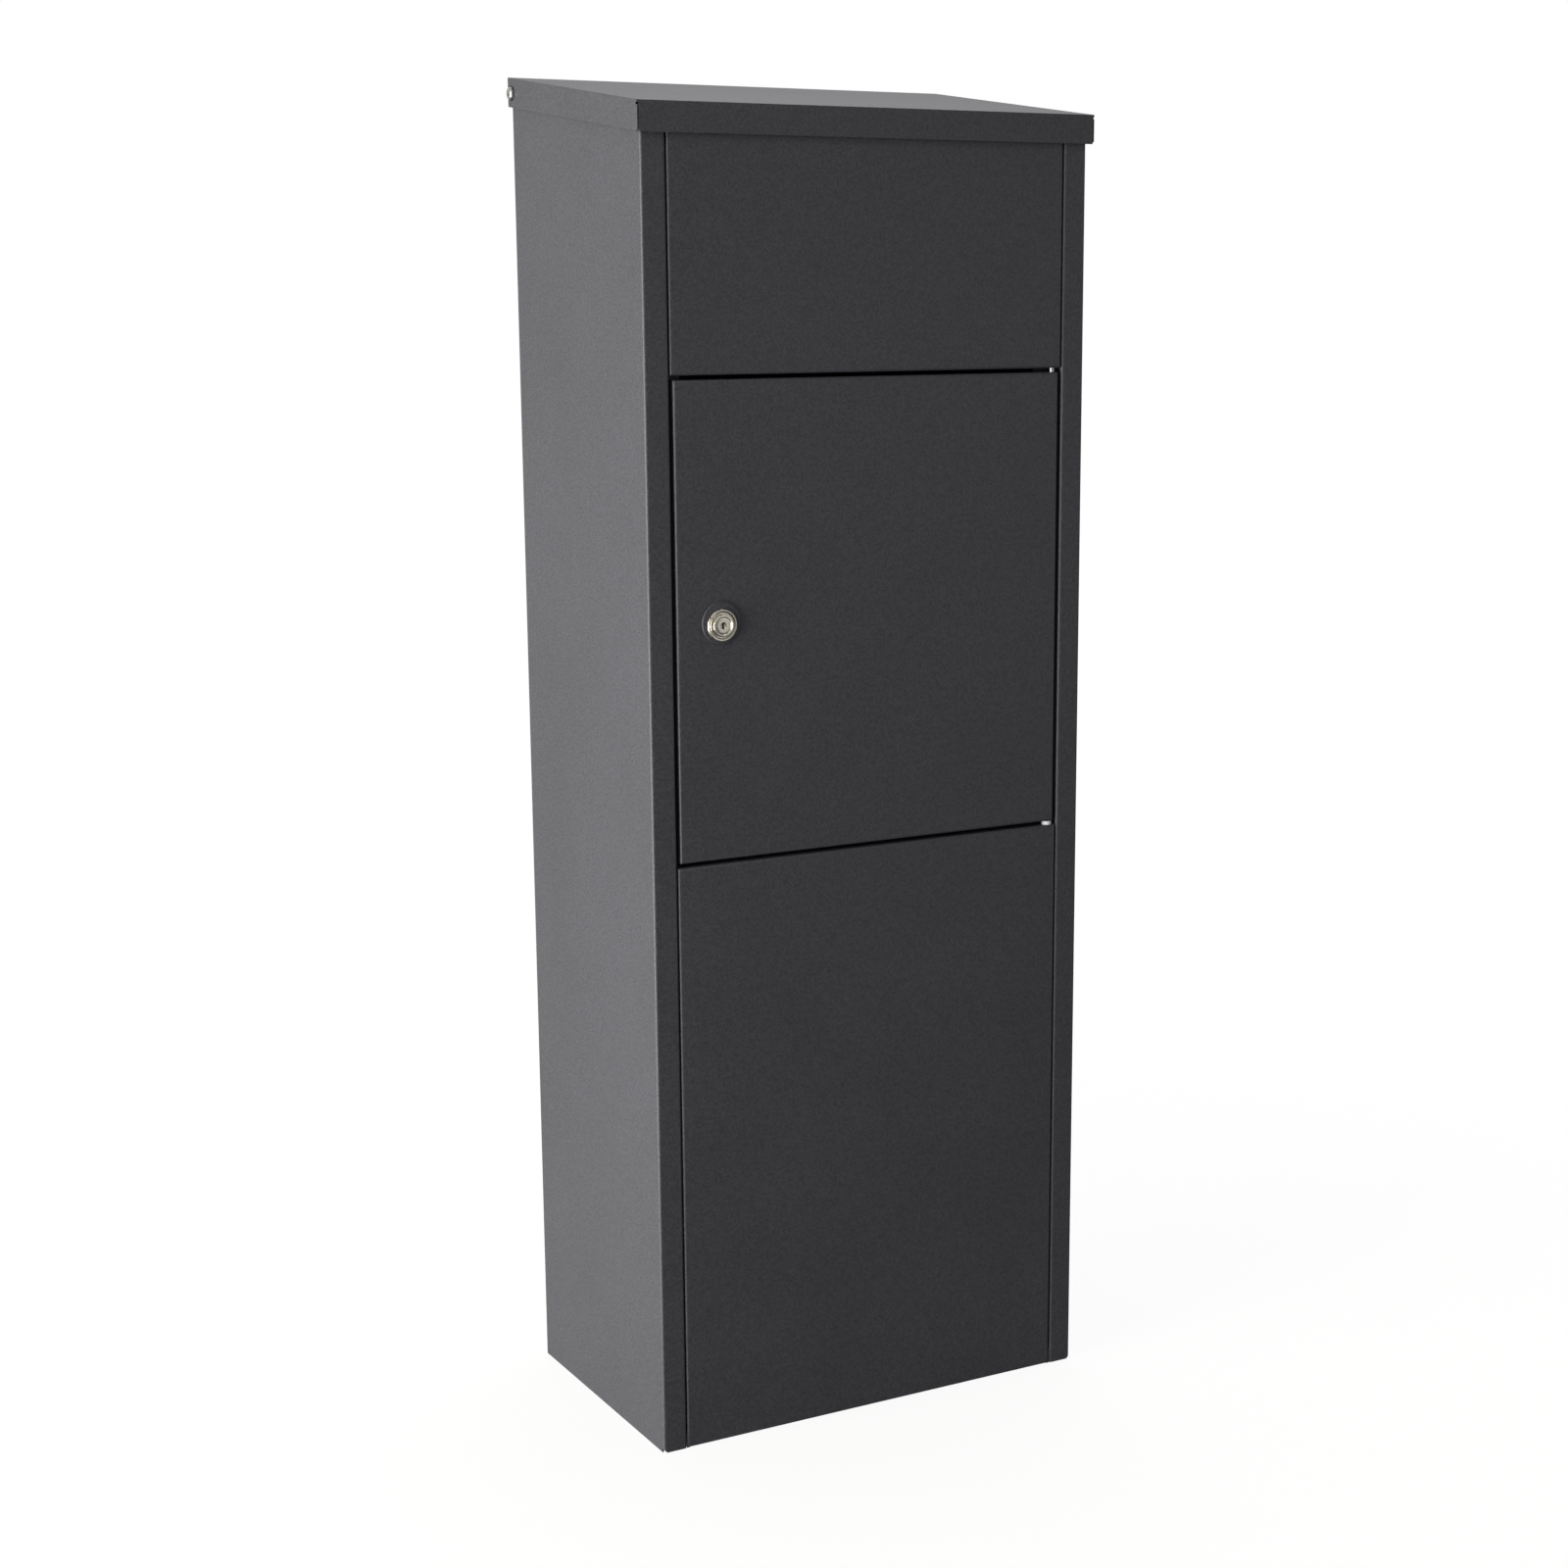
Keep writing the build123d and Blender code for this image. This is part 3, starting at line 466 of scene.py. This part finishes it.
LOCK_NUT = turned_tree("nylon_insert_nut", ("Radius", "Half Width", "Bore", "Height"), [
    (("Bore", 1.0), ("Height", 0.04), None),
    (("Bore", 1.12), ("Height", 0.0), None),
    (("Half Width", 0.97), ("Height", 0.0), None),
    (("Radius", 1.0), ("Height", 0.1), "Half Width"),
    (("Radius", 1.0), ("Height", 0.66), "Half Width"),
    (("Half Width", 0.95), ("Height", 0.72), None),
    (("Half Width", 0.86), ("Height", 0.74), None),
    (("Half Width", 0.85), ("Height", 0.92), None),
    (("Half Width", 0.78), ("Height", 1.0), None),
    (("Bore", 1.2), ("Height", 1.0), None),
    (("Bore", 1.0), ("Height", 0.9), None),
    (("Bore", 1.0), ("Height", 0.04), None)])

RING = turned_tree("washer", ("Outer", "Inner", "Thickness"), [
    (("Inner", 1.0), ("Thickness", 0.12), None),
    (("Inner", 1.03), ("Thickness", 0.0), None),
    (("Outer", 0.98), ("Thickness", 0.0), None),
    (("Outer", 1.0), ("Thickness", 0.15), None),
    (("Outer", 1.0), ("Thickness", 0.8), None),
    (("Outer", 0.97), ("Thickness", 1.0), None),
    (("Inner", 1.03), ("Thickness", 1.0), None),
    (("Inner", 1.0), ("Thickness", 0.88), None),
    (("Inner", 1.0), ("Thickness", 0.12), None)])

SOCKET_SCREW = turned_tree("button_head_screw", (
    "Head", "Socket", "Head Height", "Shank", "Shank Length"), [
    (("Shank", 0.0), ("Shank Length", -1.0), None),
    (("Shank", 0.8), ("Shank Length", -1.0), None)]
    + thread("Shank", "Shank Length", -0.97, -0.12, 12) + [
    (("Shank", 1.0), ("Shank Length", -0.12), None),
    (("Shank", 1.0), ("Shank Length", 0.0), None),
    (("Head", 0.97), ("Head Height", 0.0), None),
    (("Head", 1.0), ("Head Height", 0.1), None)]
    + dome("Head", "Head Height", 0.2, 0.56, 7) + [
    (("Socket", 1.2), ("Head Height", 1.0), None),
    (("Head", 1.0), ("Head Height", 0.94), "Socket"),
    (("Head", 1.0), ("Head Height", 0.3), "Socket"),
    (("Head", 0.0), ("Head Height", 0.18), None)])

STUD = turned_tree("weld_stud", ("Radius", "Length"), [
    (("Radius", 0.0), ("Length", 0.0), None),
    (("Radius", 1.0), ("Length", 0.0), None)]
    + thread("Radius", "Length", 0.08, 0.94, 10) + [
    (("Radius", 1.0), ("Length", 0.94), None),
    (("Radius", 0.78), ("Length", 1.0), None),
    (("Radius", 0.0), ("Length", 1.0), None)])

BLIND_RIVET = turned_tree("blind_rivet", ("Head", "Head Height", "Shank", "Shank Length", "Tail"), [
    (("Tail", 0.0), ("Shank Length", -1.0), None),
    (("Tail", 0.34), ("Shank Length", -1.0), None),
    (("Tail", 0.42), ("Shank Length", -0.94), None),
    (("Tail", 0.8), ("Shank Length", -0.93), None),
    (("Tail", 1.0), ("Shank Length", -0.78), None),
    (("Tail", 0.96), ("Shank Length", -0.62), None),
    (("Shank", 1.0), ("Shank Length", -0.55), None),
    (("Shank", 1.0), ("Head Height", 0.0), None),
    (("Head", 0.98), ("Head Height", 0.0), None)]
    + dome("Head", "Head Height", 0.3, 0.3, 5) + [
    (("Shank", 0.5), ("Head Height", 0.85), None),
    (("Shank", 0.0), ("Head Height", 0.8), None)], segments=24)

BUMPER = turned_tree("rubber_bumper", ("Radius", "Height"), [
    (("Radius", 0.0), ("Height", 0.0), None),
    (("Radius", 0.94), ("Height", 0.0), None),
    (("Radius", 1.0), ("Height", 0.12), None)]
    + dome("Radius", "Height", 0.35, 0.45, 6) + [
    (("Radius", 0.0), ("Height", 0.97), None)], segments=24)

LOCK_BODY = turned_tree("stepped_lock_body", (
    "Bore", "Rim", "Head", "Face Height", "Barrel", "Flat", "Barrel Length"), [
    (("Bore", 1.0), ("Barrel Length", -0.98), None),
    (("Bore", 1.04), ("Barrel Length", -1.0), None),
    (("Barrel", 0.95), ("Barrel Length", -1.0), "Flat")]
    + thread("Barrel", "Barrel Length", -0.98, -0.08, 14, "Flat") + [
    (("Barrel", 1.0), ("Barrel Length", -0.08), "Flat"),
    (("Barrel", 1.0), ("Face Height", 0.0), "Flat"),
    (("Head", 1.0), ("Face Height", 0.0), None),
    (("Head", 1.0), ("Face Height", 0.42), None)]
    + rounded("Head", "Face Height", 0.42, 0.65, 0.91, 6) + [
    (("Rim", 1.17), ("Face Height", 0.6), None),
    (("Rim", 1.1), ("Face Height", 0.5), None),
    (("Rim", 1.0), ("Face Height", 0.5), None),
    (("Rim", 1.0), ("Face Height", 0.86), None)]
    + rounded("Rim", "Face Height", 0.86, 1.0, 0.91, 5) + [
    (("Bore", 1.14), ("Face Height", 1.0), None),
    (("Bore", 1.06), ("Face Height", 0.9), None),
    (("Bore", 1.0), ("Face Height", 0.82), None),
    (("Bore", 1.0), ("Barrel Length", -0.98), None)], sides=2, segments=96)


# ---------------------------------------------------------------- fasteners, bumpers and lock

def seats(node, axis=None, turned_round=False, from_far_end=0.0):
    """Where each solid of a node starts and the way it faces.

    That is from_far_end back from its far end, where it is given, or else its near end.
    """
    places = []
    for solid in solids(node, axis):
        facing = -solid.facing if turned_round else solid.facing
        reach = solid.length / 2 - from_far_end if from_far_end else -solid.length / 2
        places.append((solid.middle + facing * reach, facing))
    return places


def length_of(node, axis=None):
    """The length of the node's solids, which are all alike."""
    return solids(node, axis)[0].length


def radius_of(node, axis=None):
    """The largest radius of the node's solids, which are all alike."""
    return solids(node, axis)[0].radius


def set_washers(name, node, bore, axis=None):
    """Washers as wide and as thick as the node's, with a hole of radius bore."""
    set_turned(name, RING, {
        "Outer": radius_of(node, axis), "Inner": bore, "Thickness": length_of(node, axis),
        }, seats(node, axis), node)


def set_nuts(name, tree, node, bore, axis=None, turned_round=False):
    """Nuts whose corners reach as far as the node's, with a hole of radius bore."""
    corner = radius_of(node, axis)
    half_hexagon = corner * cos(radians(30))
    set_turned(name, tree, {
        "Radius": corner, "Half Width": half_hexagon, "Bore": bore, "Height": length_of(node, axis),
        }, seats(node, axis, turned_round), node)


# Radii and heights inside a fastener. Its largest radius and its length are measured on its node.
SCREW_HEAD_HEIGHT = 2.0 * MM
SCREW_SOCKET = 2.0 * MM        # half the width across its flats
SCREW_SHANK = 3.0 * MM
SMALL_BORE = 2.05 * MM         # in the washers of the cam screw and the hinge pin
RIVET_HEAD_HEIGHT = 1.4 * MM
RIVET_SHANK = 2.0 * MM
RIVET_TAIL = 3.1 * MM          # the bulge that the rivet sets behind the sheet
LOCK_RIM = 8.5 * MM            # the raised step round the plug
BARREL = 9.5 * MM
BARREL_FLAT = 8.0 * MM         # half the width across its flats
FIT = 0.05 * MM                # play round the plug and round the barrel

set_turned("button_head_screws", SOCKET_SCREW, {
    "Head": radius_of("pivot_screws"), "Head Height": SCREW_HEAD_HEIGHT, "Socket": SCREW_SOCKET,
    "Shank": SCREW_SHANK, "Shank Length": length_of("pivot_screws") - SCREW_HEAD_HEIGHT,
    }, seats("pivot_screws", from_far_end=SCREW_HEAD_HEIGHT), "pivot_screws")
set_washers("plain_washers", "pivot_washers", SCREW_SHANK)
set_washers("nylon_spacers", "pivot_spacers", SCREW_SHANK)
set_nuts("lock_nuts", LOCK_NUT, "pivot_nuts", SCREW_SHANK, turned_round=True)

STUD_RADIUS = radius_of("guard_studs", DOWN_FROM_LID)
set_turned("weld_studs", STUD, {
    "Radius": STUD_RADIUS, "Length": length_of("guard_studs", DOWN_FROM_LID),
    }, seats("guard_studs", DOWN_FROM_LID), "guard_studs")
set_nuts("hex_nuts", NUT, "guard_nuts", STUD_RADIUS, DOWN_FROM_LID)

for level in ("upper", "lower"):
    rivets = level + "_panel_rivets"
    set_turned(level + "_blind_rivets", BLIND_RIVET, {
        "Head": radius_of(rivets, FRONT), "Head Height": RIVET_HEAD_HEIGHT, "Shank": RIVET_SHANK,
        "Shank Length": length_of(rivets, FRONT) - RIVET_HEAD_HEIGHT, "Tail": RIVET_TAIL,
        }, seats(rivets, FRONT, from_far_end=RIVET_HEAD_HEIGHT), rivets)

for name, bumpers, way in (("door_stops", "door_bumpers", FRONT),
                           ("lid_stops", "lid_bumpers", LID_NORMAL)):
    set_turned(name, BUMPER, {
        "Radius": radius_of(bumpers, way), "Height": length_of(bumpers, way),
        }, seats(bumpers, way), bumpers)

LOCK_AXIS = solids("lock_body", FRONT)[0].middle
DOOR_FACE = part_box("lock_collar")[1].y
LOCK_SEAT = Vector((LOCK_AXIS.x, DOOR_FACE, LOCK_AXIS.z))
FACE_HEIGHT = DOOR_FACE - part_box("lock_body")[0].y
set_turned("cam_lock_body", LOCK_BODY, {
    "Bore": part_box("lock_plug")[1].x - LOCK_AXIS.x + FIT, "Rim": LOCK_RIM,
    "Head": radius_of("lock_body", FRONT), "Face Height": FACE_HEIGHT, "Barrel": BARREL,
    "Flat": BARREL_FLAT, "Barrel Length": length_of("lock_body", FRONT) - FACE_HEIGHT,
    }, [(LOCK_SEAT, FRONT)], "lock_body")
set_nuts("cam_lock_nut", NUT, "lock_nut", BARREL + FIT, FRONT)
set_washers("cam_plain_washer", "cam_washer", SMALL_BORE, FRONT)
set_washers("door_hinge_washer", "hinge_washer", SMALL_BORE, UP)


# ---------------------------------------------------------------- cutters

def revolved_cutter(name, outline, seat, facing, segments=48):
    """A closed solid to cut with: an outline of (radius, height) in mm, turned about facing at seat."""
    shape = bmesh.new()
    rings = []
    for radius, height in outline:
        ring = []
        for i in range(segments):
            turn = 2 * pi * i / segments
            ring.append(shape.verts.new((radius * MM * cos(turn), radius * MM * sin(turn), height * MM)))
        rings.append(ring)
    for ring, above in zip(rings, rings[1:] + rings[:1]):
        for i in range(segments):
            shape.faces.new((ring[i - 1], ring[i], above[i], above[i - 1]))
    bmesh.ops.remove_doubles(shape, verts=shape.verts, dist=SAME_PLACE)
    bmesh.ops.recalc_face_normals(shape, faces=shape.faces)
    bmesh.ops.transform(shape, matrix=facing.to_track_quat("Z", "Y").to_matrix(), verts=shape.verts)
    bmesh.ops.translate(shape, vec=seat, verts=shape.verts)
    mesh = bpy.data.meshes.new(name)
    shape.to_mesh(mesh)
    shape.free()
    return new_piece(name, mesh)


def box_cutter(name, low, high, tilt=0.0):
    """A box to cut with, from low to high, turned by tilt about the Y axis through its middle."""
    shape = bmesh.new()
    bmesh.ops.create_cube(shape, size=1.0)
    bmesh.ops.scale(shape, vec=high - low, verts=shape.verts)
    bmesh.ops.rotate(shape, matrix=Matrix.Rotation(tilt, 3, "Y"), verts=shape.verts)
    bmesh.ops.translate(shape, vec=(low + high) / 2, verts=shape.verts)
    mesh = bpy.data.meshes.new(name)
    shape.to_mesh(mesh)
    shape.free()
    return new_piece(name, mesh)


def put_away(cutters):
    """Remove the cutters once they have cut."""
    for cutter in cutters:
        bpy.data.objects.remove(cutter)


# ---------------------------------------------------------------- sheet metal

# How far in mm an edge is rounded off: most edges, the lid's edges and the lock plug's.
CUT_EDGE = 0.22
LID_EDGE = 0.44
PLUG_EDGE = 0.15
# Thickness of the sheet that the lid is folded from.
SHEET = 1.2 * MM

# Pieces that need nothing more than soft edges.
for node in ("back_panel", "base_tray", "upper_front_panel", "lower_front_panel", "guard_plate",
             "door_panel", "door_stiffener", "lid_stop_brackets", "panel_hinge_blocks",
             "door_hinge_blocks", "lock_collar", "lock_cam", "cam_screw", "upper_hinge_pin",
             "lower_hinge_pin"):
    softened(node, "finished_" + node, CUT_EDGE)


def side_panels():
    """The two walls, with the lower corner of each front fold trimmed off."""
    trim, depth = 3.0 * MM, 4.0 * MM
    for node, side in (("left_side_panel", -1), ("right_side_panel", 1)):
        low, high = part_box(node)
        corner = Vector((low.x if side < 0 else high.x, low.y, low.z))
        half = Vector((trim, depth, trim)) / sqrt(2)
        cutters = [box_cutter("trim", corner - half, corner + half, radians(45))]
        softened(node, "finished_" + node, CUT_EDGE, cutters)
        put_away(cutters)


def lid_shell():
    """The lid, with the open joint of its folded corners and the round relief at each joint's top."""
    # The relief's outline is in mm, and its cutter reaches past the sheet both ways.
    joint_width, joint_depth, joint_below_top = 0.5 * MM, 0.83 * MM, 2.6 * MM
    relief_radius, relief_reach = 1.0, 3.0
    relief = ((0, -relief_reach), (relief_radius, -relief_reach), (relief_radius, relief_reach),
              (0, relief_reach))
    low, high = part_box("lid_panel")
    front_top = high.z + (high.y - low.y) * LID_NORMAL.y / LID_NORMAL.z
    joint_top = front_top - joint_below_top
    cutters = []
    for side, edge in ((-1, low.x), (1, high.x)):
        x = edge - side * (SHEET + joint_width / 2)
        half = Vector((joint_width / 2, joint_depth, 0))
        bottom = Vector((x, low.y, low.z - SHEET))
        top = Vector((x, low.y, joint_top))
        cutters.append(box_cutter("joint", bottom - half, top + half))
        outward = Vector((side, -1, 0)).normalized()
        corner = Vector((edge, low.y, joint_top))
        cutters.append(revolved_cutter("relief", relief, corner, outward, 16))
    softened("lid_panel", "lid_shell", LID_EDGE, cutters)
    put_away(cutters)


def lock_plug():
    """The plug, with a dished key entry and a fine groove round its face."""
    front = Vector((LOCK_AXIS.x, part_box("lock_plug")[0].y, LOCK_AXIS.z))
    # Radii and depths in mm. Each cutter starts clear of the face.
    clear = 0.5
    floor_radius, shoulder_radius, mouth_radius = 1.3, 2.7, 2.95
    floor_depth, shoulder_depth = 1.1, 0.25
    groove_inner, groove_outer, groove_depth = 4.5, 4.85, 0.3
    dish = ((0, clear), (0, -floor_depth), (floor_radius, -floor_depth),
            (shoulder_radius, -shoulder_depth), (mouth_radius, clear))
    groove = ((groove_inner, clear), (groove_inner, -groove_depth), (groove_outer, -groove_depth),
              (groove_outer, clear))
    cutters = [revolved_cutter("dish", dish, front, FRONT),
               revolved_cutter("groove", groove, front, FRONT)]
    softened("lock_plug", "keyed_plug", PLUG_EDGE, cutters)
    put_away(cutters)


side_panels()
lid_shell()
lock_plug()


# ---------------------------------------------------------------- stage, light and camera

def studio_floor():
    """A pale floor that fades into the white surroundings a little way out from the object."""
    reach, fade_from, fade_to = 6.0, 0.3, 1.3
    mesh = bpy.data.meshes.new("studio_floor")
    mesh.from_pydata([(-reach, -reach, 0), (reach, -reach, 0), (reach, reach, 0), (-reach, reach, 0)],
                     [], [(0, 1, 2, 3)])
    floor = new_piece("studio_floor", mesh)
    material, tree, output = new_material("pale_paper_floor")
    place = add_node(tree, "ShaderNodeTexCoord").outputs["Object"]
    distance = add_node(tree, "ShaderNodeVectorMath", {"operation": "LENGTH"}, {0: place})
    fade = add_node(tree, "ShaderNodeMapRange", {"interpolation_type": "SMOOTHERSTEP"}, {
        "Value": distance.outputs["Value"], "From Min": fade_from, "From Max": fade_to,
        "To Min": 0.9, "To Max": 1.0})
    paper = add_node(tree, "ShaderNodeBsdfDiffuse", inputs={"Color": linear("#f4f4f2")})
    clear = add_node(tree, "ShaderNodeBsdfTransparent")
    mix = add_node(tree, "ShaderNodeMixShader", inputs={
        0: fade.outputs["Result"], 1: paper.outputs["BSDF"], 2: clear.outputs["BSDF"]})
    tree.links.new(mix.outputs["Shader"], output.inputs["Surface"])
    mesh.materials.append(material)


def studio_sky():
    """White surroundings for the eye. On the object, a bright backdrop and a dim room in front of it."""
    world = bpy.data.worlds.new("studio")
    scene.world = world
    world.use_nodes = True
    tree = world.node_tree
    tree.nodes.clear()
    way = add_node(tree, "ShaderNodeTexCoord").outputs["Generated"]
    parts = add_node(tree, "ShaderNodeSeparateXYZ", inputs={"Vector": way})
    backdrop = add_node(tree, "ShaderNodeMapRange", {"interpolation_type": "SMOOTHSTEP"}, {
        "Value": parts.outputs["Y"], "From Min": -0.5, "From Max": 0.7, "To Min": 0.25, "To Max": 0.7})
    # The floor is lit behind the object, and dim in front of it.
    lift = add_node(tree, "ShaderNodeMapRange", inputs={
        "Value": parts.outputs["Y"], "From Min": 0.2, "From Max": 0.8, "To Min": 0.0, "To Max": 0.4})
    level = add_node(tree, "ShaderNodeMath", {"operation": "ADD"}, {
        0: parts.outputs["Z"], 1: lift.outputs["Result"]})
    ground = add_node(tree, "ShaderNodeMapRange", {"interpolation_type": "SMOOTHSTEP"}, {
        "Value": level.outputs["Value"], "From Min": -0.45, "From Max": 0.05,
        "To Min": 0.05, "To Max": 1.0})
    strength = add_node(tree, "ShaderNodeMath", {"operation": "MULTIPLY"}, {
        0: backdrop.outputs["Result"], 1: ground.outputs["Result"]})
    seen = add_node(tree, "ShaderNodeBackground", inputs={"Color": (1, 1, 1, 1), "Strength": 1.0})
    fill = add_node(tree, "ShaderNodeBackground", inputs={
        "Color": (1, 1, 1, 1), "Strength": strength.outputs["Value"]})
    eye = add_node(tree, "ShaderNodeLightPath")
    mix = add_node(tree, "ShaderNodeMixShader", inputs={
        0: eye.outputs["Is Camera Ray"], 1: fill.outputs["Background"], 2: seen.outputs["Background"]})
    output = add_node(tree, "ShaderNodeOutputWorld")
    tree.links.new(mix.outputs["Shader"], output.inputs["Surface"])


def softbox(name, place, target, width, height, power, tint="#ffffff"):
    """A rectangular soft light at place, facing target, with its power in watts."""
    light = bpy.data.lights.new(name, "AREA")
    light.shape = "RECTANGLE"
    light.size = width
    light.size_y = height
    light.energy = power
    light.color = linear(tint)[:3]
    lamp = bpy.data.objects.new(name, light)
    lamp.location = place
    lamp.rotation_euler = (Vector(target) - Vector(place)).to_track_quat("-Z", "Y").to_euler()
    scene.collection.objects.link(lamp)


def camera():
    """The camera, front left and a little above, looking slightly down."""
    view = bpy.data.cameras.new("camera")
    view.sensor_width = 36.0
    view.lens = 60.25
    view.shift_x = -0.0257
    view.shift_y = 0.0326
    eye = bpy.data.objects.new("camera", view)
    eye.location = (-1.0028, -1.8425, 0.8809)
    eye.rotation_euler = (radians(78.452), radians(0.300), radians(-29.049))
    scene.collection.objects.link(eye)
    scene.camera = eye


WARM = "#fffdf2"

scene.view_settings.view_transform = "Standard"
studio_floor()
studio_sky()
# The main light, on the left wall. The front lies nearly edge on to it and stays dark.
softbox("key_left", (-2.5, -0.4, 0.5), (0, 0, 0.5), width=1.5, height=2.2, power=138, tint=WARM)
# A little light from low on the left, for the underside of the lid's skirt.
softbox("floor_bounce", (-1.3, -0.5, 0.12), (-0.19, 0, 0.9), width=0.9, height=0.25, power=6, tint=WARM)
# From above and behind, on the top of the lid.
softbox("top", (0.6, 0.5, 2.9), (0, 0, 0.9), width=1.6, height=1.2, power=36)
# Two weak lights on the front, one from above and one from the right.
softbox("front_top", (-0.9, -1.7, 2.6), (0, 0, 0.9), width=1.2, height=0.8, power=8)
softbox("front_right", (1.4, -2.4, 0.7), (0, 0, 0.6), width=1.3, height=1.5, power=4.5)
camera()
